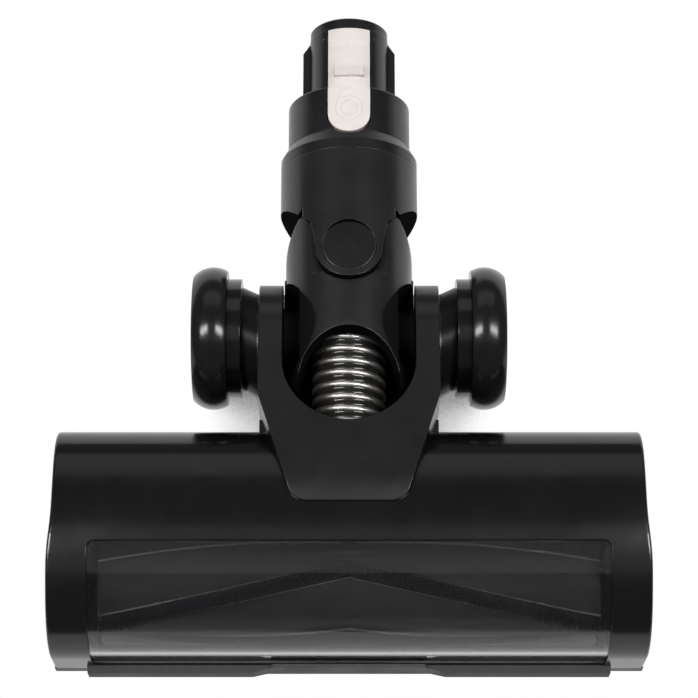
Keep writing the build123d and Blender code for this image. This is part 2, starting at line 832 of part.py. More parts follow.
# Wheels: a stepped hub with a crowned tyre, on an axle held in the yoke's arm
for name, side in sides.items():
    wheel_plane = facing_front(axle_y)

    def ring_profile(*points):
        """Points as distance from the middle along X and radius about the wheel axis."""
        return [(side * x, axle_z + radius) for x, radius in points]

    with BuildPart() as tyre:
        with BuildSketch(wheel_plane):
            with BuildLine():
                edge = Polyline(
                    *ring_profile(
                        (wheel_tyre_outer, tyre_outer_edge_radius),
                        (wheel_tyre_outer, tyre_bore),
                        (wheel_tyre_inner, tyre_bore),
                        (wheel_tyre_inner, tyre_inner_edge_radius),
                    )
                )
                crown = ring_profile((wheel_crest_x, wheel_radius))[0]
                ThreePointArc(edge @ 1, crown, edge @ 0)
            make_face()
        revolve(axis=axle_line)
    keep(tyre, f"tyre_{name}")

    with BuildPart() as wheel_hub:
        with BuildSketch(wheel_plane):
            with BuildLine():
                Polyline(
                    *ring_profile(
                        (wheel_ring_inner, axle_radius + running_gap),
                        (wheel_ring_inner, wheel_ring_radius),
                        (wheel_tyre_inner, wheel_ring_radius),
                        (wheel_tyre_inner, tyre_bore - seat_gap / 2),
                        (wheel_tyre_outer, tyre_bore - seat_gap / 2),
                        (wheel_tyre_outer - hub_dish, tyre_bore - hub_dish),
                        (wheel_tyre_outer - hub_dish, axle_radius + running_gap),
                    ),
                    close=True,
                )
            make_face()
        revolve(axis=axle_line)
        add(
            disc(
                side * (wheel_tyre_outer - 2 * hub_dish),
                side * wheel_tyre_outer,
                axle_collar_radius + free_gap,
            ),
            mode=Mode.SUBTRACT,
        )
    keep(wheel_hub, f"wheel_hub_{name}")

    with BuildPart() as wheel_axle:
        axle_end = wheel_tyre_outer - 2 * hub_dish
        add(disc(side * axle_start, side * (axle_end + free_gap), axle_radius))
        add(
            disc(
                side * (axle_end + free_gap),
                side * (axle_end + hub_dish - free_gap),
                axle_collar_radius,
            )
        )
    keep(wheel_axle, f"wheel_axle_{name}")

    with BuildPart() as hub_cap:
        cap_start = wheel_tyre_outer - hub_dish
        add(disc(side * cap_start, side * (cap_start + hub_cap_thickness), hub_cap_radius))
        outer_rim = hub_cap.edges().sort_by(Axis.X)[-1 if side > 0 else 0]
        fillet(outer_rim, hub_cap_thickness / 2)
    keep(hub_cap, f"hub_cap_{name}")

    with BuildPart() as sole_wheel:
        reach = sole_wheel_width / 2
        add(
            disc(
                side * sole_wheel_x - reach,
                side * sole_wheel_x + reach,
                sole_wheel_radius,
                line=sole_wheel_line,
                bore=sole_axle_radius + running_gap,
            )
        )
    keep(sole_wheel, f"sole_wheel_{name}")

    with BuildPart() as sole_axle:
        reach = sole_wheel_width / 2 + free_gap + sole_box_wall
        add(
            disc(
                side * sole_wheel_x - reach,
                side * sole_wheel_x + reach,
                sole_axle_radius,
                line=sole_wheel_line,
            )
        )
    keep(sole_axle, f"sole_axle_{name}")

# Neck: a barrel round the hose, round about the tilt axis below and about the swivel axis above
neck_flat = ear_plane - free_gap
with BuildPart() as neck_whole:
    add(barrel(axle_y - neck_radius, swivel_y + neck_radius, neck_radius))
    with BuildSketch(Plane.XY) as neck_plan:
        with Locations((0, (axle_y - neck_radius + swivel_y) / 2)):
            Rectangle(2 * neck_radius, swivel_y - axle_y + neck_radius)
        with Locations((0, swivel_y)):
            Circle(neck_radius)
        fillet(neck_plan.vertices().group_by(Axis.Y)[0], neck_corner)
    extrude(amount=ample, both=True, mode=Mode.INTERSECT)
    with BuildSketch(Plane.YZ):
        with Locations((axle_y, axle_z)):
            Circle(neck_radius)
        with Locations(((axle_y + swivel_y + neck_radius) / 2, axle_z)):
            Rectangle(swivel_y + neck_radius - axle_y, 2 * neck_radius)
    extrude(amount=ample, both=True, mode=Mode.INTERSECT)
    add(barrel(axle_y - neck_radius, swivel_y + neck_radius, neck_bore), mode=Mode.SUBTRACT)
    with BuildSketch(Plane.XY.offset(axle_z)):
        with Locations((0, axle_y - mouth_reach)):
            Circle(mouth_radius)
    extrude(amount=2 * neck_radius, both=True, mode=Mode.SUBTRACT)
    for side in sides.values():
        add(disc(side * cheek_x, side * ample, pocket_radius), mode=Mode.SUBTRACT)
        inside = side * (cheek_x - seat_gap)
        add(disc(inside, side * (yoke_arm_inner - free_gap), shoulder_radius))
        add(disc(inside, side * trunnion_end, trunnion_radius))
    for up in (-1, 1):
        with BuildSketch(Plane.XY.offset(axle_z + up * neck_flat)):
            with Locations((0, swivel_y)):
                Circle(flat_clear_radius)
            with Locations((0, swivel_y - flat_back_margin + neck_radius)):
                Rectangle(2 * neck_radius, 2 * neck_radius)
        extrude(amount=up * neck_radius, mode=Mode.SUBTRACT)
    with BuildSketch(Plane.XY):
        with Locations((0, swivel_y)):
            Circle(swivel_pin_radius + running_gap)
    extrude(amount=ample, mode=Mode.SUBTRACT)
    for x, y in neck_screw_places:
        add(screw_hole(x, y, 0, neck_screw_bottom_z, neck_screw_top_z), mode=Mode.SUBTRACT)

with BuildPart() as neck_upper_shell:
    add(neck_whole.part)
    split(bisect_by=Plane.XY.offset(axle_z), keep=Keep.TOP)
keep(neck_upper_shell, "neck_upper_shell")

with BuildPart() as neck_lower_shell:
    add(neck_whole.part)
    split(bisect_by=Plane.XY.offset(axle_z), keep=Keep.BOTTOM)
keep(neck_lower_shell, "neck_lower_shell")

with BuildPart() as neck_screws:
    for x, y in neck_screw_places:
        add(screw(x, y, neck_screw_bottom_z, neck_screw_top_z))
keep(neck_screws, "neck_screws")

# Hose: a thin liner wound with steel wire, from the duct's socket to a clip in the neck
with BuildPart() as hose_liner:
    add(
        barrel(
            axle_y - hose_start_reach,
            axle_y + hose_end,
            liner_radius,
            bore=liner_radius - liner_wall,
        )
    )
keep(hose_liner, "hose_liner")

wire_line_radius = hose_radius - wire_radius
wire_start = axle_y - hose_start_reach + wire_radius
wire_length = hose_start_reach + hose_end - clip_length - 3 * wire_radius
with BuildPart() as hose_wire:
    with BuildLine() as wire_path:
        Helix(
            wire_pitch,
            wire_length,
            wire_line_radius,
            center=(0, wire_start, axle_z),
            direction=(0, 1, 0),
        )
    with BuildSketch(Plane(origin=wire_path.line @ 0, z_dir=wire_path.line % 0)):
        RegularPolygon(wire_radius, 6)
    sweep(is_frenet=True)
keep(hose_wire, "hose_wire")

with BuildPart() as hose_clip:
    add(
        barrel(
            axle_y + hose_end - clip_length,
            axle_y + hose_end,
            neck_bore,
            bore=liner_radius + seat_gap / 2,
        )
    )
keep(hose_clip, "hose_clip")

# Fork: two ears about the swivel axis, notched at the sides so that the neck can turn between them
with BuildPart() as fork_shell:
    add(barrel(swivel_y - ear_radius, axle_y + fork_seam, fork_radius))
    with BuildSketch(Plane.XY):
        with BuildLine():
            Polyline(
                (0, swivel_y),
                (ear_radius, swivel_y),
                (fork_notch_root_x, axle_y + fork_notch_root),
                (fork_radius, axle_y + fork_notch_side),
                (fork_radius, axle_y + fork_seam),
                (0, axle_y + fork_seam),
            )
            mirror(about=Plane.YZ)
        make_face()
        with Locations((0, swivel_y)):
            Circle(ear_radius)
    extrude(amount=ample, both=True, mode=Mode.INTERSECT)
    with BuildSketch(Plane.XY.offset(axle_z - ear_plane)):
        with Locations((0, swivel_y)):
            Circle(fork_cavity)
    extrude(amount=2 * ear_plane, mode=Mode.SUBTRACT)
    add(barrel(swivel_y, axle_y + fork_seam, neck_bore), mode=Mode.SUBTRACT)
    add(
        barrel(axle_y + fork_web, axle_y + fork_seam, spigot_radius + seat_gap / 2),
        mode=Mode.SUBTRACT,
    )
    with BuildSketch(Plane.XY):
        with Locations((0, swivel_y)):
            Circle(swivel_pin_radius)
    extrude(amount=ample, mode=Mode.SUBTRACT)
    for up in (-1, 1):
        with BuildSketch(Plane.XY.offset(axle_z + up * (cap_height - cap_thickness))):
            with Locations((0, swivel_y)):
                Circle(cap_radius + seat_gap)
        extrude(amount=up * ample, mode=Mode.SUBTRACT)
keep(fork_shell, "fork_shell")

for name, up in {"top": 1, "bottom": -1}.items():
    with BuildPart() as swivel_pin:
        with BuildSketch(Plane.XY.offset(axle_z + up * (neck_flat - swivel_pin_depth))):
            with Locations((0, swivel_y)):
                Circle(swivel_pin_radius)
        extrude(amount=up * (cap_height - cap_thickness - neck_flat + swivel_pin_depth))
    keep(swivel_pin, f"swivel_pin_{name}")

    with BuildPart() as pivot_cap:
        with BuildSketch(Plane.XY.offset(axle_z + up * (cap_height - cap_thickness))):
            with Locations((0, swivel_y)):
                Circle(cap_radius)
        extrude(amount=up * cap_thickness)
        cap_rim = pivot_cap.edges().sort_by(Axis.Z)[-1 if up > 0 else 0]
        fillet(cap_rim, cap_thickness / 4)
    keep(pivot_cap, f"pivot_cap_{name}")

# Room for the latch: a slot with a round lower end, open to the top
latch_room_start = axle_y + latch_start - latch_swing_room
latch_room_half = latch_half + latch_gap
with BuildPart() as latch_room:
    with BuildSketch(Plane.XY.offset(axle_z + latch_floor)):
        with Locations((0, latch_room_start + latch_room_half)):
            Circle(latch_room_half)
        with Locations((0, latch_room_start + latch_room_half + pipe_reach / 2)):
            Rectangle(2 * latch_room_half, pipe_reach)
    extrude(amount=ample)

# Collar ring: the bevelled bezel between the fork and the tube
with BuildPart() as collar_ring:
    with BuildSketch(Plane.YZ):
        with BuildLine():
            Polyline(
                (axle_y + fork_seam, axle_z + spigot_radius + seat_gap / 2),
                (axle_y + fork_seam, axle_z + fork_radius),
                (axle_y + ring_end, axle_z + fork_radius),
                (axle_y + bevel_end, axle_z + tube_radius),
                (axle_y + bevel_end, axle_z + spigot_radius + seat_gap / 2),
                close=True,
            )
        make_face()
    revolve(axis=tube_line)
    add(latch_room.part, mode=Mode.SUBTRACT)
keep(collar_ring, "collar_ring")

# Tube socket: a hollow stub plugged into the fork, with a closed end round the pipe
with BuildPart() as tube_socket:
    with BuildSketch(Plane.YZ):
        with BuildLine():
            Polyline(
                (axle_y + spigot_start, axle_z + spigot_radius - tube_wall),
                (axle_y + spigot_start, axle_z + spigot_radius),
                (axle_y + bevel_end, axle_z + spigot_radius),
                (axle_y + bevel_end, axle_z + tube_radius),
                (axle_y + tube_end, axle_z + tube_radius),
                (axle_y + tube_end, axle_z + pipe_radius),
                (axle_y + tube_end - tube_wall, axle_z + pipe_radius),
                (axle_y + tube_end - tube_wall, axle_z + tube_radius - tube_wall),
                (axle_y + bevel_end + tube_wall, axle_z + tube_radius - tube_wall),
                (axle_y + bevel_end + tube_wall, axle_z + spigot_radius - tube_wall),
                close=True,
            )
        make_face()
    revolve(axis=tube_line)
    tube_rim = tube_socket.edges().filter_by(GeomType.CIRCLE).group_by(SortBy.RADIUS)[-1]
    fillet(tube_rim.sort_by(Axis.Y)[-1], tube_wall / 2)
    add(latch_room.part, mode=Mode.SUBTRACT)
keep(tube_socket, "tube_socket")

# Pipe plug: a tube with side ribs, a flattened bore under the latch and a bare nose
with BuildPart() as pipe:
    add(barrel(axle_y + pipe_start, axle_y + plug_nose_start, pipe_radius))
    add(barrel(axle_y + plug_nose_start, pipe_end_y, plug_nose_radius))
    chamfer(pipe.edges().sort_by(Axis.Y)[-1], plug_edge)
    add(
        barrel(
            axle_y + pipe_start,
            axle_y + pipe_start + flange_thickness,
            spigot_radius - tube_wall - seat_gap / 2,
        )
    )
    for side in sides.values():
        with BuildSketch(Plane.XY.offset(axle_z - rib_thickness / 2)):
            with BuildLine():
                Polyline(
                    (side * pipe_bore, axle_y + tube_end),
                    (side * rib_reach, axle_y + tube_end),
                    (side * rib_reach, axle_y + rib_end - rib_chamfer),
                    (side * pipe_radius, axle_y + rib_end),
                    (side * pipe_bore, axle_y + rib_end),
                    close=True,
                )
            make_face()
        extrude(amount=rib_thickness)
    with BuildSketch(tube_section(axle_y + pipe_start)):
        Circle(pipe_bore)
        with Locations((0, latch_floor - latch_floor_wall + pipe_radius)):
            Rectangle(2 * pipe_radius, 2 * pipe_radius, mode=Mode.SUBTRACT)
    extrude(amount=-ample, mode=Mode.SUBTRACT)
    pipe_slot_start = tube_end - latch_riser - latch_swing_room - latch_gap
    pipe_slot_end = latch_end + latch_gap
    with BuildSketch(Plane.XY.offset(axle_z + latch_floor)):
        with Locations((0, axle_y + (pipe_slot_start + pipe_slot_end) / 2)):
            Rectangle(2 * latch_room_half, pipe_slot_end - pipe_slot_start)
    extrude(amount=ample, mode=Mode.SUBTRACT)
    add(disc(-latch_pin_half, latch_pin_half, latch_pin_radius, line=latch_line), mode=Mode.SUBTRACT)
keep(pipe, "pipe")

with BuildPart() as contact_block:
    add(barrel(axle_y + contact_start, pipe_end_y - contact_setback, pipe_bore - seat_gap / 2))
    with BuildSketch(tube_section(axle_y + contact_start)):
        with Locations((0, contact_top - pipe_bore)):
            Rectangle(2 * contact_half, 2 * pipe_bore)
    extrude(amount=-ample, mode=Mode.INTERSECT)
    with BuildSketch(tube_section(axle_y + contact_start)):
        with Locations((-contact_pin_spread, contact_top - 2), (contact_pin_spread, contact_top - 2)):
            Circle(contact_pin_radius)
    extrude(amount=-ample, mode=Mode.SUBTRACT)
keep(contact_block, "contact_block")

with BuildPart() as contact_pins:
    with BuildSketch(tube_section(axle_y + contact_start)):
        with Locations((-contact_pin_spread, contact_top - 2), (contact_pin_spread, contact_top - 2)):
            Circle(contact_pin_radius)
    extrude(amount=contact_start - pipe_reach + plug_edge)
keep(contact_pins, "contact_pins")

# Latch: a stepped lever flush with the tube and the pipe, hinged near the pipe's end
latch_riser_back = tube_end - 2 * latch_gap
with BuildPart() as latch_skin:
    add(barrel(axle_y + pipe_start, axle_y + latch_riser_back, tube_radius))
    add(barrel(axle_y + latch_riser_back - latch_riser, pipe_end_y, pipe_radius))

with BuildPart() as latch_button:
    with BuildSketch(Plane.XY.offset(axle_z)):
        with Locations((0, axle_y + latch_start + latch_half)):
            Circle(latch_half)
        with Locations((0, axle_y + (latch_start + latch_half + latch_end) / 2)):
            Rectangle(2 * latch_half, latch_end - latch_start - latch_half)
    extrude(amount=2 * tube_radius)
    with BuildSketch(Plane.YZ):
        with BuildLine():
            Polyline(
                (axle_y + latch_start, axle_z + latch_pad_bottom),
                (axle_y + latch_riser_back - latch_riser, axle_z + latch_pad_bottom),
                (axle_y + latch_riser_back - latch_riser, axle_z + latch_plate_bottom),
                (axle_y + latch_end, axle_z + latch_plate_bottom),
                (axle_y + latch_end, axle_z + 2 * tube_radius),
                (axle_y + latch_start, axle_z + 2 * tube_radius),
                close=True,
            )
        make_face()
    extrude(amount=ample, both=True, mode=Mode.INTERSECT)
    add(latch_skin.part, mode=Mode.INTERSECT)
    add(disc(-latch_half, latch_half, latch_lug_radius, line=latch_line))
    with BuildSketch(Plane.YZ):
        with BuildLine():
            Polyline(
                (axle_y + hook_start, axle_z + latch_plate_bottom),
                (axle_y + hook_start, axle_z + pipe_radius + hook_height),
                (axle_y + hook_end, axle_z + pipe_radius),
                (axle_y + hook_end, axle_z + latch_plate_bottom),
                close=True,
            )
        make_face()
    extrude(amount=hook_half, both=True)
    dimple_ball = (dimple_radius**2 + dimple_depth**2) / (2 * dimple_depth)
    with Locations((0, axle_y + dimple_back, axle_z + tube_radius - dimple_depth + dimple_ball)):
        Sphere(dimple_ball, mode=Mode.SUBTRACT)
    add(
        disc(-ample, ample, latch_pin_radius + running_gap, line=latch_line), mode=Mode.SUBTRACT
    )
keep(latch_button, "latch_button")

with BuildPart() as latch_pin:
    add(disc(-latch_pin_half, latch_pin_half, latch_pin_radius, line=latch_line))
keep(latch_pin, "latch_pin")

spring_bottom = axle_z + pipe_radius + spring_wire + seat_gap
spring_top = axle_z + latch_pad_bottom - spring_wire - seat_gap
with BuildPart() as latch_spring:
    with BuildLine() as spring_path:
        Helix(
            (spring_top - spring_bottom) / spring_turns,
            spring_top - spring_bottom,
            spring_radius,
            center=(0, axle_y + spring_back, spring_bottom),
        )
    with BuildSketch(Plane(origin=spring_path.line @ 0, z_dir=spring_path.line % 0)):
        RegularPolygon(spring_wire, 6)
    sweep(is_frenet=True)
keep(latch_spring, "latch_spring")
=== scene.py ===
import math
import random

import bmesh
import bpy
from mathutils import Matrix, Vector
from mathutils.bvhtree import BVHTree


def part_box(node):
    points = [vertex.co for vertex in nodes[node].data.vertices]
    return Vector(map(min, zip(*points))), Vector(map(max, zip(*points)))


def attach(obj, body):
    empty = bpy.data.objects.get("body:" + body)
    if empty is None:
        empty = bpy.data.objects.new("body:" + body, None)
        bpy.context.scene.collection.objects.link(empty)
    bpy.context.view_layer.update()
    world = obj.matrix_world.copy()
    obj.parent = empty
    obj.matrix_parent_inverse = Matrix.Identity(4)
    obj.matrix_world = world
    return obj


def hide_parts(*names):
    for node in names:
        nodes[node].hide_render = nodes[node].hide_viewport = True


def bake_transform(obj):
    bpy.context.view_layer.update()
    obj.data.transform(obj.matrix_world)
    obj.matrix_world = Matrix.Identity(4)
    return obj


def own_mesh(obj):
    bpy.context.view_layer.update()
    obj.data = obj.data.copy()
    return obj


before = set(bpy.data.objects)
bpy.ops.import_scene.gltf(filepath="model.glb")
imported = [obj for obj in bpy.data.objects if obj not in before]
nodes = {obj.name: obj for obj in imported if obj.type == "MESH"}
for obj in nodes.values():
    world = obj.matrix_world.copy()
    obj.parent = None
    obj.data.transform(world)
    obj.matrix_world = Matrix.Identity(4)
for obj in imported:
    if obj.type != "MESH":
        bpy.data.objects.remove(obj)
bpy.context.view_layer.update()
MM = 0.001

# Places in the frame, in millimetres
AXLE_Y, AXLE_Z = -1.8, 30.0
ROLLER_Y, ROLLER_Z = AXLE_Y - 107.0, 24.5


def point(x, y, z):
    """A place in millimetres, given in metres."""
    return Vector((x * MM, y * MM, z * MM))


# Materials

# Edges that look softened, in metres, and the depth of a surface's grain
EDGE_WIDE, EDGE_USUAL, EDGE_LATCH, EDGE_METAL = 0.6 * MM, 0.5 * MM, 0.4 * MM, 0.2 * MM
GRAIN_SLIGHT, GRAIN_FINE, GRAIN_SOLE = 0.00002, 0.00004, 0.00009
FULL_SHINE = 0.5


def new_material(name):
    mat = bpy.data.materials.new(name)
    mat.use_nodes = True
    tree = mat.node_tree
    shader = tree.nodes["Principled BSDF"]
    coords = tree.nodes.new("ShaderNodeTexCoord")
    return mat, tree, shader, coords.outputs["Object"]


def noise(tree, coords, scale, detail=4.0, rough=0.5, stretch=None):
    vector = coords
    if stretch:
        mapping = tree.nodes.new("ShaderNodeMapping")
        mapping.inputs["Scale"].default_value = stretch
        tree.links.new(coords, mapping.inputs["Vector"])
        vector = mapping.outputs["Vector"]
    node = tree.nodes.new("ShaderNodeTexNoise")
    node.inputs["Scale"].default_value = scale
    node.inputs["Detail"].default_value = detail
    node.inputs["Roughness"].default_value = rough
    tree.links.new(vector, node.inputs["Vector"])
    return node.outputs["Fac"]


def ramp(tree, fac, low, high, start=0.3, end=0.7):
    """A colour between low and high."""
    node = tree.nodes.new("ShaderNodeValToRGB")
    node.color_ramp.elements[0].position = start
    node.color_ramp.elements[0].color = (*low, 1)
    node.color_ramp.elements[1].position = end
    node.color_ramp.elements[1].color = (*high, 1)
    tree.links.new(fac, node.inputs["Fac"])
    return node.outputs["Color"]


def spread(tree, value, low, high, start=0.3, end=0.7):
    """A number between low and high."""
    node = tree.nodes.new("ShaderNodeMapRange")
    node.inputs["From Min"].default_value = start
    node.inputs["From Max"].default_value = end
    node.inputs["To Min"].default_value = low
    node.inputs["To Max"].default_value = high
    tree.links.new(value, node.inputs["Value"])
    return node.outputs["Result"]


def combined(tree, operation, first, second):
    node = tree.nodes.new("ShaderNodeMath")
    node.operation = operation
    tree.links.new(first, node.inputs[0])
    tree.links.new(second, node.inputs[1])
    return node.outputs["Value"]


def bumped(tree, shader, height, strength, distance, edge=0.0):
    bump = tree.nodes.new("ShaderNodeBump")
    bump.inputs["Strength"].default_value = strength
    bump.inputs["Distance"].default_value = distance
    tree.links.new(height, bump.inputs["Height"])
    if edge:
        bevel = tree.nodes.new("ShaderNodeBevel")
        bevel.samples = 6
        bevel.inputs["Radius"].default_value = edge
        tree.links.new(bevel.outputs["Normal"], bump.inputs["Normal"])
    tree.links.new(bump.outputs["Normal"], shader.inputs["Normal"])


def plastic(name, low, high, rough, grain, grain_depth, edge=EDGE_USUAL):
    """Moulded plastic: faint colour drift, roughness drift, fine grain and softened edges."""
    mat, tree, shader, coords = new_material(name)
    drift = noise(tree, coords, 22, 3)
    tree.links.new(ramp(tree, drift, low, high), shader.inputs["Base Color"])
    smear = noise(tree, coords, 60, 5, 0.6)
    tree.links.new(spread(tree, smear, *rough), shader.inputs["Roughness"])
    bumped(tree, shader, noise(tree, coords, grain, 3, 0.6), 0.35, grain_depth, edge)
    shader.inputs["IOR"].default_value = 1.5
    return mat


def smooth_black(name, low, high, rough):
    """The outer mouldings' black, with hardly any grain."""
    return plastic(name, low, high, rough, 700, GRAIN_SLIGHT, EDGE_WIDE)


def dulled(mat, across, middle, dull_at, bright_at, fronts=True, least_shine=0.0):
    """Takes the shine from part of a moulding, by the distance from middle along the directions across.

    With fronts, its faces that are turned to the front lose their shine too, a painted shade on those
    faces.
    """
    tree = mat.node_tree
    shader = tree.nodes["Principled BSDF"]
    coords = tree.nodes.new("ShaderNodeTexCoord")
    mapping = tree.nodes.new("ShaderNodeMapping")
    mapping.inputs["Location"].default_value = [-value for value in middle]
    mapping.inputs["Scale"].default_value = across
    tree.links.new(coords.outputs["Object"], mapping.inputs["Vector"])
    length = tree.nodes.new("ShaderNodeVectorMath")
    length.operation = "LENGTH"
    tree.links.new(mapping.outputs["Vector"], length.inputs[0])
    shine = spread(tree, length.outputs["Value"], least_shine, FULL_SHINE, dull_at * MM, bright_at * MM)
    if fronts:
        facing = tree.nodes.new("ShaderNodeSeparateXYZ")
        tree.links.new(coords.outputs["Normal"], facing.inputs["Vector"])
        # Painted shade: faces turned to the front lose their shine
        front = spread(tree, facing.outputs["Y"], 0.0, FULL_SHINE, -0.35, -0.2)
        shine = combined(tree, "MINIMUM", shine, front)
    tree.links.new(shine, shader.inputs["Specular IOR Level"])
    return mat


def metal(name, low, high, rough, brush):
    """Bright or brushed metal with fine lines along brush."""
    mat, tree, shader, coords = new_material(name)
    lines = noise(tree, coords, 900, 4, 0.6, stretch=brush)
    tree.links.new(ramp(tree, lines, low, high), shader.inputs["Base Color"])
    tree.links.new(spread(tree, lines, *rough), shader.inputs["Roughness"])
    bumped(tree, shader, lines, 0.15, 0.00005, EDGE_METAL)
    shader.inputs["Metallic"].default_value = 1.0
    return mat


def rubber(name, low, high, rough, speck, pitted=0.5):
    """Rubber with a speckled, slightly pitted skin."""
    mat, tree, shader, coords = new_material(name)
    pits = noise(tree, coords, speck, 5, 0.7)
    tree.links.new(ramp(tree, pits, low, high, 0.38, 0.62), shader.inputs["Base Color"])
    tree.links.new(spread(tree, noise(tree, coords, 90, 3), *rough), shader.inputs["Roughness"])
    bumped(tree, shader, pits, pitted, 0.00012, EDGE_WIDE)
    shader.inputs["IOR"].default_value = 1.45
    return mat


def smoked_glass(name, low, high):
    """Tinted clear plastic with faint ripples and scuffs."""
    mat, tree, shader, coords = new_material(name)
    tint = noise(tree, coords, 16, 2)
    tree.links.new(ramp(tree, tint, low, high), shader.inputs["Base Color"])
    scuffs = noise(tree, coords, 140, 5, 0.65, stretch=(1, 6, 6))
    tree.links.new(spread(tree, scuffs, 0.0, 0.015), shader.inputs["Roughness"])
    bumped(tree, shader, noise(tree, coords, 30, 2), 0.02, 0.00003)
    shader.inputs["Transmission Weight"].default_value = 1.0
    shader.inputs["IOR"].default_value = 1.49
    return mat


def bristle_fibre(name, low, high):
    """Nylon fibre whose tone changes from tuft to tuft."""
    mat, tree, shader, coords = new_material(name)
    tone = noise(tree, coords, 420, 3, 0.6)
    tree.links.new(ramp(tree, tone, low, high), shader.inputs["Base Color"])
    tree.links.new(spread(tree, tone, 0.4, 0.6), shader.inputs["Roughness"])
    shader.inputs["Sheen Weight"].default_value = 0.3
    return mat


# Painted light and shade: these blacks are copies of one plastic, with gloss_black darkest and the joint,
# yoke, neck and fork copies given lighter base colours to stand in for the light those parts catch
gloss_black = smooth_black("gloss_black", (0.0030, 0.0030, 0.0032), (0.0046, 0.0046, 0.0049), (0.14, 0.21))
joint_black = smooth_black("joint_black", (0.0044, 0.0044, 0.0046), (0.0062, 0.0062, 0.0065), (0.27, 0.36))
# Dull on the bosses beside the arms
yoke_black = dulled(
    smooth_black("yoke_black", (0.0056, 0.0056, 0.0058), (0.0076, 0.0076, 0.0079), (0.24, 0.33)),
    (1, 0, 0), point(0, 0, 0), 38.2, 37.5, fronts=False, least_shine=0.07)
# Painted shade on the inner side, about the tube's axis: no shine there, and none on faces turned to the
# front
fork_black = dulled(
    smooth_black("fork_black", (0.0078, 0.0078, 0.0081), (0.0102, 0.0102, 0.0106), (0.27, 0.36)),
    (1, 0, 1), point(0, 0, AXLE_Z), 27.4, 28.2)
# Painted shade about the axle: no shine within 22.6 mm of it, on the cheeks too, and none on faces turned
# to the front
neck_black = dulled(
    smooth_black("neck_black", (0.0062, 0.0062, 0.0065), (0.0084, 0.0084, 0.0088), (0.27, 0.36)),
    (0, 1, 1), point(0, AXLE_Y, AXLE_Z), 22.6, 23.4)
satin_black = plastic(
    "satin_black", (0.006, 0.006, 0.0063), (0.0095, 0.0095, 0.01), (0.22, 0.32), 2600, GRAIN_FINE)
sole_black = plastic(
    "sole_black", (0.011, 0.011, 0.0115), (0.017, 0.017, 0.018), (0.42, 0.55), 3200, GRAIN_SOLE)
core_grey = plastic(
    "core_grey", (0.104, 0.104, 0.106), (0.116, 0.116, 0.118), (0.16, 0.24), 1500, GRAIN_SLIGHT)
off_white = plastic(
    "off_white", (0.74, 0.68, 0.65), (0.80, 0.74, 0.71), (0.22, 0.30), 3000, GRAIN_FINE, EDGE_LATCH)
hose_black = plastic(
    "hose_black", (0.012, 0.011, 0.010), (0.021, 0.0195, 0.018), (0.12, 0.22), 900, 0.00003)
bumper_grey = rubber("bumper_grey", (0.040, 0.040, 0.042), (0.070, 0.070, 0.073), (0.6, 0.75), 1900)
tyre_black = rubber("tyre_black", (0.0055, 0.0055, 0.006), (0.0085, 0.0085, 0.009), (0.16, 0.21), 900, 0.2)
belt_black = rubber("belt_black", (0.012, 0.012, 0.012), (0.02, 0.02, 0.02), (0.6, 0.75), 1500)
wire_steel = metal("wire_steel", (0.66, 0.63, 0.59), (0.80, 0.77, 0.73), (0.34, 0.46), (1, 0.3, 1))
bright_steel = metal("bright_steel", (0.72, 0.70, 0.67), (0.86, 0.84, 0.80), (0.14, 0.24), (1, 0.08, 1))
turned_steel = metal("turned_steel", (0.50, 0.49, 0.48), (0.66, 0.65, 0.63), (0.24, 0.36), (0.06, 1, 1))
brass = metal("brass", (0.72, 0.50, 0.20), (0.84, 0.62, 0.28), (0.18, 0.3), (1, 0.05, 1))
smoked_clear = smoked_glass("smoked_clear", (0.50, 0.50, 0.505), (0.53, 0.53, 0.535))
bristle = bristle_fibre("bristle_fibre", (0.025, 0.025, 0.026), (0.07, 0.07, 0.072))
pale_edge = bristle_fibre("pale_edge", (0.30, 0.30, 0.295), (0.44, 0.44, 0.43))

PAINT = {
    gloss_black: ["upper_housing", "wheel_hub_left", "wheel_hub_right", "hub_cap_left", "hub_cap_right"],
    joint_black: ["pivot_cap_top", "pivot_cap_bottom", "collar_ring", "tube_socket", "pipe"],
    yoke_black: ["yoke_cover"],
    fork_black: ["fork_shell"],
    neck_black: ["neck_upper_shell", "neck_lower_shell"],
    satin_black: ["yoke_base", "roller_tunnel", "suction_duct", "hose_clip", "roller_end_cap",
                  "motor_bracket", "roller_plug_left", "roller_plug_right", "roller_pulley",
                  "contact_block"],
    sole_black: ["base_plate"],
    core_grey: ["roller_core"],
    off_white: ["latch_button"],
    bumper_grey: ["front_bumper"],
    tyre_black: ["tyre_left", "tyre_right", "sole_wheel_left", "sole_wheel_right"],
    belt_black: ["rear_squeegee", "drive_belt"],
    bright_steel: ["latch_pin", "sole_axle_left", "sole_axle_right"],
    turned_steel: ["roller_shaft", "wheel_axle_left", "wheel_axle_right", "housing_screws",
                   "yoke_screws", "neck_screws", "swivel_pin_top", "swivel_pin_bottom",
                   "roller_bearing_left", "roller_bearing_right", "motor_shaft", "motor_pulley",
                   "drive_motor"],
    brass: ["contact_pins"],
    smoked_clear: ["window"],
}
for material, names in PAINT.items():
    for name in names:
        data = nodes[name].data
        data.materials.clear()
        data.materials.append(material)


# Meshes

def mesh_piece(name, verts, faces, material, smooth=True):
    data = bpy.data.meshes.new(name)
    data.from_pydata([tuple(v) for v in verts], [], faces)
    data.update()
    data.materials.append(material)
    if smooth:
        data.shade_smooth()
    obj = bpy.data.objects.new(name, data)
    bpy.context.scene.collection.objects.link(obj)
    return obj


def loop_faces(turns, count):
    """Four-sided faces between rows of count points, where the last row meets the first."""
    faces = []
    for i in range(turns):
        here, there = i * count, (i + 1) % turns * count
        for j in range(count):
            after = (j + 1) % count
            faces.append((here + j, here + after, there + after, there + j))
    return faces


def bar_faces(steps, count):
    """Four-sided faces between rows of count points, with both ends closed."""
    faces = []
    for i in range(steps):
        for j in range(count):
            a, b = i * count + j, i * count + (j + 1) % count
            faces.append((a, b, b + count, a + count))
    faces.append(tuple(range(count)))
    faces.append(tuple(steps * count + j for j in reversed(range(count))))
    return faces
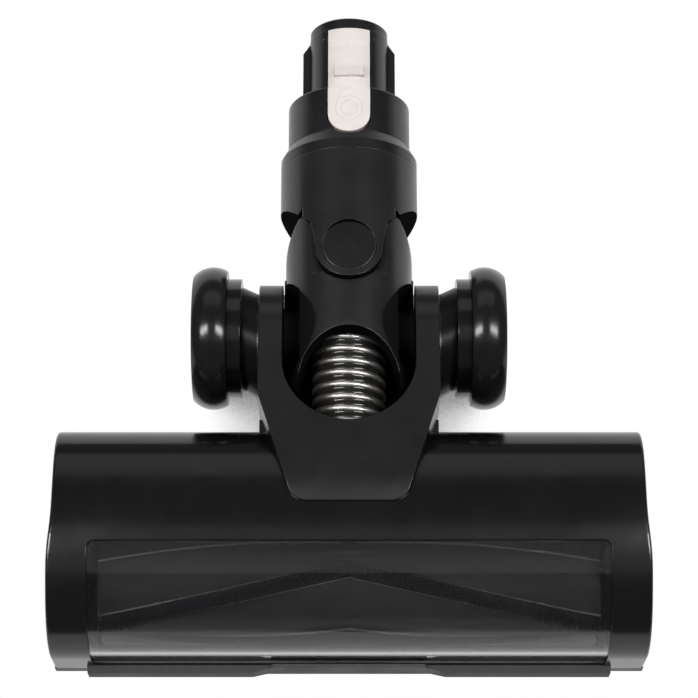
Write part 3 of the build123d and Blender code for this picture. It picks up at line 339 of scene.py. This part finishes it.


# Hose: round wire wound on a ribbed liner

HOSE_START, HOSE_END = AXLE_Y - 54.0, AXLE_Y + 9.0
WIRE_RADIUS, WIRE_LINE, WIRE_PITCH = 1.4, 14.1, 5.25
WIRE_START, WIRE_LENGTH = HOSE_START + WIRE_RADIUS, 53.8
COVER_RADIUS, COVER_DIP, LINER_BORE, LINER_STEPS = 14.45, 0.45, 11.8, 126
BEND_START, BEND_END = AXLE_Y - 22, AXLE_Y + 5


def lathe(name, profile, material, centre, turns=72):
    """Turns a closed profile of (radius, y) about the tube's axis."""
    verts = []
    for i in range(turns):
        angle = 2 * math.pi * i / turns
        for radius, y in profile:
            verts.append(point(centre[0] + radius * math.cos(angle), y,
                               centre[1] + radius * math.sin(angle)))
    return mesh_piece(name, verts, loop_faces(turns, len(profile)), material)


def coil(name, line, wire, pitch, length, place, material, around=12, per_turn=48):
    """A round wire along a helix, closed at both ends.

    The helix is wound along Y, and place puts it in the frame.
    """
    steps = int(length / pitch * per_turn)
    verts, faces = [], []
    for i in range(steps + 1):
        turn = 2 * math.pi * i / per_turn
        along = Vector((-math.sin(turn) * line, pitch / (2 * math.pi), math.cos(turn) * line))
        out = Vector((math.cos(turn), 0, math.sin(turn)))
        across = along.normalized().cross(out)
        middle = Vector((0, i / per_turn * pitch, 0)) + out * line
        for j in range(around):
            angle = 2 * math.pi * j / around
            verts.append(place(middle + (out * math.cos(angle) + across * math.sin(angle)) * wire))
    for i in range(steps):
        for j in range(around):
            a, b = i * around + j, i * around + (j + 1) % around
            faces.append((a, a + around, b + around, b))
    faces.append(tuple(range(around)))
    faces.append(tuple(steps * around + j for j in reversed(range(around))))
    return mesh_piece(name, verts, faces, material)


def hose_wire():
    """The hose's wire, round where the solid is six-sided."""
    def place(v):
        return point(v.x, WIRE_START + v.y, AXLE_Z + v.z)
    return coil("hose_wire_round", WIRE_LINE, WIRE_RADIUS, WIRE_PITCH, WIRE_LENGTH, place, wire_steel)


def hose_liner():
    """The liner and its dark cover, which dips between the turns of wire."""
    outer = []
    for i in range(LINER_STEPS + 1):
        y = HOSE_START + (HOSE_END - HOSE_START) * i / LINER_STEPS
        wave = math.cos(2 * math.pi * (y - WIRE_START) / WIRE_PITCH)
        outer.append((COVER_RADIUS + COVER_DIP * wave, y))
    inner = [(LINER_BORE, y) for _, y in reversed(outer)]
    return lathe("hose_liner_ribbed", outer + inner, hose_black, (0, AXLE_Z))


for piece, node, slot in ((hose_wire(), "hose_wire", "steel"),
                          (hose_liner(), "hose_liner", "satin_black")):
    point(0, BEND_START, AXLE_Z)
    point(0, BEND_END, AXLE_Z)
    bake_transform(piece)
    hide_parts(node)


# Latch spring: a round-wire coil

SPRING_Y, SPRING_LINE, SPRING_WIRE, SPRING_TURNS = AXLE_Y + 93.0, 2.8, 0.5, 3.0
spring_low, spring_high = (corner[2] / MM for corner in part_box("latch_spring"))
spring_height = spring_high - spring_low


def latch_spring():
    """The spring's wire, between the heights of the solid."""
    def place(v):
        return point(v.x, SPRING_Y - v.z, spring_low + SPRING_WIRE + v.y)
    length = spring_height - 2 * SPRING_WIRE
    return coil("latch_spring_round", SPRING_LINE, SPRING_WIRE, length / SPRING_TURNS, length, place,
                bright_steel)


spring = latch_spring()
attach(spring, "fork")
point(0, SPRING_Y, spring_low)
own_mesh(spring)
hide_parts("latch_spring")


# Latch rings: two low beads on the thumb pad, which follow its surface

RING_Y, RING_BEAD, ABOVE_ALL = AXLE_Y + 95.1, 0.22, 200
RING_OUTER, RING_INNER = 5.65, 3.5


def latch_ring(name, radius, steps=64, around=8):
    """A round bead along a circle, sunk to half its height in the pad."""
    data = nodes["latch_button"].data
    place = nodes["latch_button"].matrix_world
    pad = BVHTree.FromPolygons([place @ v.co for v in data.vertices],
                               [tuple(p.vertices) for p in data.polygons])
    down, up = Vector((0, 0, -1)), Vector((0, 0, 1))
    verts = []
    for i in range(steps):
        turn = 2 * math.pi * i / steps
        out = Vector((math.cos(turn), math.sin(turn), 0))
        above = point(radius * out.x, RING_Y + radius * out.y, ABOVE_ALL)
        middle = pad.ray_cast(above, down)[0]
        for j in range(around):
            angle = 2 * math.pi * j / around
            verts.append(middle + (out * math.cos(angle) + up * math.sin(angle)) * RING_BEAD * MM)
    faces = [face[::-1] for face in loop_faces(steps, around)]
    piece = mesh_piece(name, verts, faces, off_white)
    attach(piece, "latch")


latch_ring("latch_ring_outer", RING_OUTER)
latch_ring("latch_ring_inner", RING_INNER)


# Roller strips: short fibres on a woven base, in a V that runs to the front at the ends

CORE_RADIUS, TIP_RADIUS, ROLLER_HALF, STRIP_COUNT = 18.6, 23.3, 101.0, 4
STRIP_START, STRIP_TWIST, STRIP_HALF, PALE_EDGE = 80.0, 68.0, 3.0, 0.45
BASE_SUNK, BASE_RIM, BASE_SHOULDER, BASE_CROWN, BASE_STEPS = -0.3, 0.2, 0.7, 0.9, 120
PALE_EDGE_FACES = (0, 1, 4, 5)
FIBRE_ROWS, FIBRE_COLUMNS, FIBRE_WIDTH, FIBRE_TAPER, FIBRE_FOOT = 9, 380, 0.16, 0.6, 0.4
FIBRE_SEED, FIBRE_MARGIN, FIBRE_SPAN = 40, 0.6, 0.92


def on_roller(x, angle, radius):
    return point(x, ROLLER_Y + radius * math.cos(angle), ROLLER_Z + radius * math.sin(angle))


def strip_angle(index, x):
    """The middle of a strip, as an angle about the roller."""
    return math.radians(STRIP_START + 360 / STRIP_COUNT * index + STRIP_TWIST * abs(x) / ROLLER_HALF)


def strip_base(index):
    """The woven base, a low band that follows the V, with a pale band along both sides."""
    half = STRIP_HALF / CORE_RADIUS
    outer = (STRIP_HALF + PALE_EDGE) / CORE_RADIUS
    profile = ((BASE_SUNK, -outer), (BASE_RIM, -outer), (BASE_SHOULDER, -half), (BASE_CROWN, 0),
               (BASE_SHOULDER, half), (BASE_RIM, outer), (BASE_SUNK, outer))
    count = len(profile)
    verts = []
    for i in range(BASE_STEPS + 1):
        x = -ROLLER_HALF + 2 * ROLLER_HALF * i / BASE_STEPS
        middle = strip_angle(index, x)
        for height, offset in profile:
            verts.append(on_roller(x, middle + offset, CORE_RADIUS + height))
    piece = mesh_piece(f"strip_base_{index + 1}", verts, bar_faces(BASE_STEPS, count), bristle,
                       smooth=False)
    piece.data.materials.append(pale_edge)
    for polygon in piece.data.polygons[:BASE_STEPS * count]:
        if polygon.index % count in PALE_EDGE_FACES:
            polygon.material_index = 1
    return piece


def strip_fibres(index):
    """Three-sided fibres in rows across the band, each a little off its row."""
    rng = random.Random(FIBRE_SEED + index)
    corners = [(math.cos(2 * math.pi * k / 3), math.sin(2 * math.pi * k / 3)) for k in range(3)]
    length = 2 * (ROLLER_HALF - FIBRE_MARGIN)
    verts, faces = [], []
    for column in range(FIBRE_COLUMNS):
        for row in range(FIBRE_ROWS):
            x = -ROLLER_HALF + FIBRE_MARGIN + length * (column + rng.uniform(0.1, 0.9)) / FIBRE_COLUMNS
            across = STRIP_HALF * (2 * (row + rng.uniform(0.2, 0.8)) / FIBRE_ROWS - 1) * FIBRE_SPAN
            foot = strip_angle(index, x) + across / CORE_RADIUS
            tip = foot + rng.gauss(0, 0.012)
            tip_x = max(-ROLLER_HALF, min(ROLLER_HALF, x + rng.gauss(0, 0.25)))
            reach = TIP_RADIUS - abs(rng.gauss(0, 0.25))
            first = len(verts)
            for end_x, angle, radius, width in (
                    (x, foot, CORE_RADIUS + FIBRE_FOOT, FIBRE_WIDTH),
                    (tip_x, tip, reach, FIBRE_TAPER * FIBRE_WIDTH)):
                for side_x, side_turn in corners:
                    verts.append(on_roller(end_x + width * side_x,
                                           angle + width * side_turn / CORE_RADIUS, radius))
            for k in range(3):
                after = (k + 1) % 3
                faces.append((first + k, first + after, first + 3 + after, first + 3 + k))
            faces.append((first + 3, first + 4, first + 5))
    return mesh_piece(f"strip_fibres_{index + 1}", verts, faces, bristle, smooth=False)


for index in range(STRIP_COUNT):
    base = strip_base(index)
    fibres = strip_fibres(index)
    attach(base, "roller")
    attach(fibres, "roller")
    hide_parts(f"bristle_strip_{index + 1}")


# Neck cheeks: low walls beside the axle that close the gap to the arms

CHEEK_INNER, CHEEK_OUTER, CHEEK_FROM, CHEEK_TO, CHEEK_STEPS = 8.0, 25.5, -75.0, 6.0, 24
# Distance from the middle, and how far the edge is drawn in there
CHEEK_LEVELS = ((20.6, 0.0), (26.6, 0.0), (27.2, 0.6))


def neck_cheek(name, sign):
    """A sector about the axle, with its outer edge chamfered."""
    verts, faces = [], []
    for x, inset in CHEEK_LEVELS:
        for i in range(CHEEK_STEPS + 1):
            angle = math.radians(CHEEK_FROM + (CHEEK_TO - CHEEK_FROM) * i / CHEEK_STEPS)
            for radius in (CHEEK_INNER + inset, CHEEK_OUTER - inset):
                verts.append(point(sign * x, AXLE_Y + radius * math.cos(angle),
                                   AXLE_Z + radius * math.sin(angle)))
    row = 2 * (CHEEK_STEPS + 1)
    rim = [2 * i for i in range(CHEEK_STEPS + 1)] + [2 * i + 1 for i in reversed(range(CHEEK_STEPS + 1))]
    last = len(CHEEK_LEVELS) - 1
    for level in range(last):
        here, there = level * row, (level + 1) * row
        for a, b in zip(rim, rim[1:] + rim[:1]):
            faces.append((a + here, b + here, b + there, a + there))
    for level in (0, last):
        for i in range(CHEEK_STEPS):
            a = level * row + 2 * i
            faces.append((a, a + 1, a + 3, a + 2))
    piece = mesh_piece(name, verts, faces, neck_black, smooth=False)
    mesh = bmesh.new()
    mesh.from_mesh(piece.data)
    bmesh.ops.recalc_face_normals(mesh, faces=mesh.faces)
    mesh.to_mesh(piece.data)
    mesh.free()
    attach(piece, "neck")


neck_cheek("neck_cheek_left", -1)
neck_cheek("neck_cheek_right", 1)


# Cross recesses in the screw heads, which face down, drawn as dark bars: painted shade

RECESS_LONG, RECESS_SHORT, RECESS_BELOW, RECESS_ABOVE = 1.5, 0.28, -0.04, 0.2
HOUSING_SCREW_X, HOUSING_SCREW_FRONT, HOUSING_SCREW_BACK, HOUSING_SCREW_Z = 111.0, -129.0, -50.0, 2.5
YOKE_SCREW_X, YOKE_SCREW_FRONT, YOKE_SCREW_BACK, YOKE_SCREW_Z = 32.45, -30.0, 15.0, 18.85
NECK_SCREW_X, NECK_SCREW_BACK, NECK_SCREW_Z = 22.6, 26.0, 18.5


def cross_recess(name, x, back, z, body):
    """Two crossed dark bars, painted shade standing in for the hollow of the recess; back is counted from
    the axle.
    """
    y = AXLE_Y + back
    verts, faces = [], []
    for half_x, half_y in ((RECESS_LONG, RECESS_SHORT), (RECESS_SHORT, RECESS_LONG)):
        first = len(verts)
        for dz in (RECESS_BELOW, RECESS_ABOVE):
            verts += [point(x - half_x, y - half_y, z + dz), point(x + half_x, y - half_y, z + dz),
                      point(x + half_x, y + half_y, z + dz), point(x - half_x, y + half_y, z + dz)]
        faces += [(first + 3, first + 2, first + 1, first), (first + 4, first + 5, first + 6, first + 7)]
        for k in range(4):
            a, b = first + k, first + (k + 1) % 4
            faces.append((a, b, b + 4, a + 4))
    piece = mesh_piece(name, verts, faces, belt_black, smooth=False)
    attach(piece, body)


for side, sign in (("left", -1), ("right", 1)):
    housing_x, yoke_x, neck_x = sign * HOUSING_SCREW_X, sign * YOKE_SCREW_X, sign * NECK_SCREW_X
    cross_recess(f"housing_recess_{side}_front", housing_x, HOUSING_SCREW_FRONT, HOUSING_SCREW_Z, "head")
    cross_recess(f"housing_recess_{side}_back", housing_x, HOUSING_SCREW_BACK, HOUSING_SCREW_Z, "head")
    cross_recess(f"yoke_recess_{side}_front", yoke_x, YOKE_SCREW_FRONT, YOKE_SCREW_Z, "head")
    cross_recess(f"yoke_recess_{side}_back", yoke_x, YOKE_SCREW_BACK, YOKE_SCREW_Z, "head")
    cross_recess(f"neck_recess_{side}", neck_x, NECK_SCREW_BACK, NECK_SCREW_Z, "neck")


# Stage, light and camera, in metres

FLOOR_HALF, FLOOR_Z, FLOOR_GREY = 3, -0.0005, 0.8
SHADOW_REACH, SHADOW_SAMPLES = 0.05, 16


def floor_material():
    """A matt floor that the camera sees as white, with a painted shadow where the part is near, and clear
    from below.
    """
    mat = bpy.data.materials.new("floor")
    mat.use_nodes = True
    tree = mat.node_tree
    tree.nodes.remove(tree.nodes["Principled BSDF"])
    output = tree.nodes["Material Output"]
    light = tree.nodes.new("ShaderNodeEmission")
    light.inputs["Color"].default_value = (1, 1, 1, 1)
    matt = tree.nodes.new("ShaderNodeBsdfDiffuse")
    matt.inputs["Color"].default_value = (FLOOR_GREY, FLOOR_GREY, FLOOR_GREY, 1)
    path = tree.nodes.new("ShaderNodeLightPath")
    seen = path.outputs["Is Camera Ray"]
    for ray in ("Is Glossy Ray", "Is Transmission Ray"):
        seen = combined(tree, "MAXIMUM", seen, path.outputs[ray])
    # Painted shadow: the floor's glow fades with occlusion close to the part
    near = tree.nodes.new("ShaderNodeAmbientOcclusion")
    near.samples = SHADOW_SAMPLES
    near.inputs["Distance"].default_value = SHADOW_REACH
    tree.links.new(spread(tree, near.outputs["AO"], 0.04, 1.0, 0.05, 0.22), light.inputs["Strength"])
    mix = tree.nodes.new("ShaderNodeMixShader")
    tree.links.new(seen, mix.inputs["Fac"])
    tree.links.new(matt.outputs["BSDF"], mix.inputs[1])
    tree.links.new(light.outputs["Emission"], mix.inputs[2])
    geometry = tree.nodes.new("ShaderNodeNewGeometry")
    clear = tree.nodes.new("ShaderNodeBsdfTransparent")
    side = tree.nodes.new("ShaderNodeMixShader")
    tree.links.new(geometry.outputs["Backfacing"], side.inputs["Fac"])
    tree.links.new(mix.outputs["Shader"], side.inputs[1])
    tree.links.new(clear.outputs["BSDF"], side.inputs[2])
    tree.links.new(side.outputs["Shader"], output.inputs["Surface"])
    return mat


floor_corners = [(-FLOOR_HALF, -FLOOR_HALF, FLOOR_Z), (FLOOR_HALF, -FLOOR_HALF, FLOOR_Z),
                 (FLOOR_HALF, FLOOR_HALF, FLOOR_Z), (-FLOOR_HALF, FLOOR_HALF, FLOOR_Z)]
floor = mesh_piece("floor", floor_corners, [(0, 1, 2, 3)], floor_material(), smooth=False)

world = bpy.data.worlds.new("studio")
bpy.context.scene.world = world
world.use_nodes = True
world.node_tree.nodes["Background"].inputs["Color"].default_value = (0.9, 0.92, 1.0, 1)
world.node_tree.nodes["Background"].inputs["Strength"].default_value = 0.145

# Name, place, what it is aimed at, width and depth, power in watts
LIGHTS = (
    ("strip_left", (-0.8, -0.12, 1.33), (0, -0.05, 0.03), (0.26, 0.8), 13.2),
    ("strip_right", (0.8, -0.12, 1.33), (0, -0.05, 0.03), (0.26, 0.8), 13.2),
    ("overhead_panel", (0, -0.31, 1.9), (0, -0.31, 0.03), (1.8, 0.95), 1.5),
    ("back_panel", (0, 1.2, 1.07), (0, 0, 0.03), (1.8, 0.74), 1.9),
)


def aimed(place, aim):
    """The turn that points a light or a camera from place to aim."""
    return (Vector(aim) - Vector(place)).to_track_quat("-Z", "Y").to_euler()


def area_light(name, place, aim, size, power):
    data = bpy.data.lights.new(name, "AREA")
    data.shape = "RECTANGLE"
    data.size, data.size_y = size
    data.energy = power
    obj = bpy.data.objects.new(name, data)
    obj.location = place
    obj.rotation_euler = aimed(place, aim)
    bpy.context.scene.collection.objects.link(obj)


for light_values in LIGHTS:
    area_light(*light_values)

CAMERA_LENS, CAMERA_SENSOR, CAMERA_DISTANCE = 128.9, 36.0, 1.05
CAMERA_ELEVATION = math.radians(70.0)
CAMERA_AIM = point(0, AXLE_Y - 4.6, 29.9)

scene = bpy.context.scene
scene.view_settings.view_transform = "Standard"
camera_data = bpy.data.cameras.new("camera")
camera_data.sensor_width = CAMERA_SENSOR
camera_data.lens = CAMERA_LENS
camera = bpy.data.objects.new("camera", camera_data)
scene.collection.objects.link(camera)
camera_side = Vector((0, -math.cos(CAMERA_ELEVATION), math.sin(CAMERA_ELEVATION)))
camera.location = CAMERA_AIM + camera_side * CAMERA_DISTANCE
camera.rotation_euler = aimed(camera.location, CAMERA_AIM)
scene.camera = camera
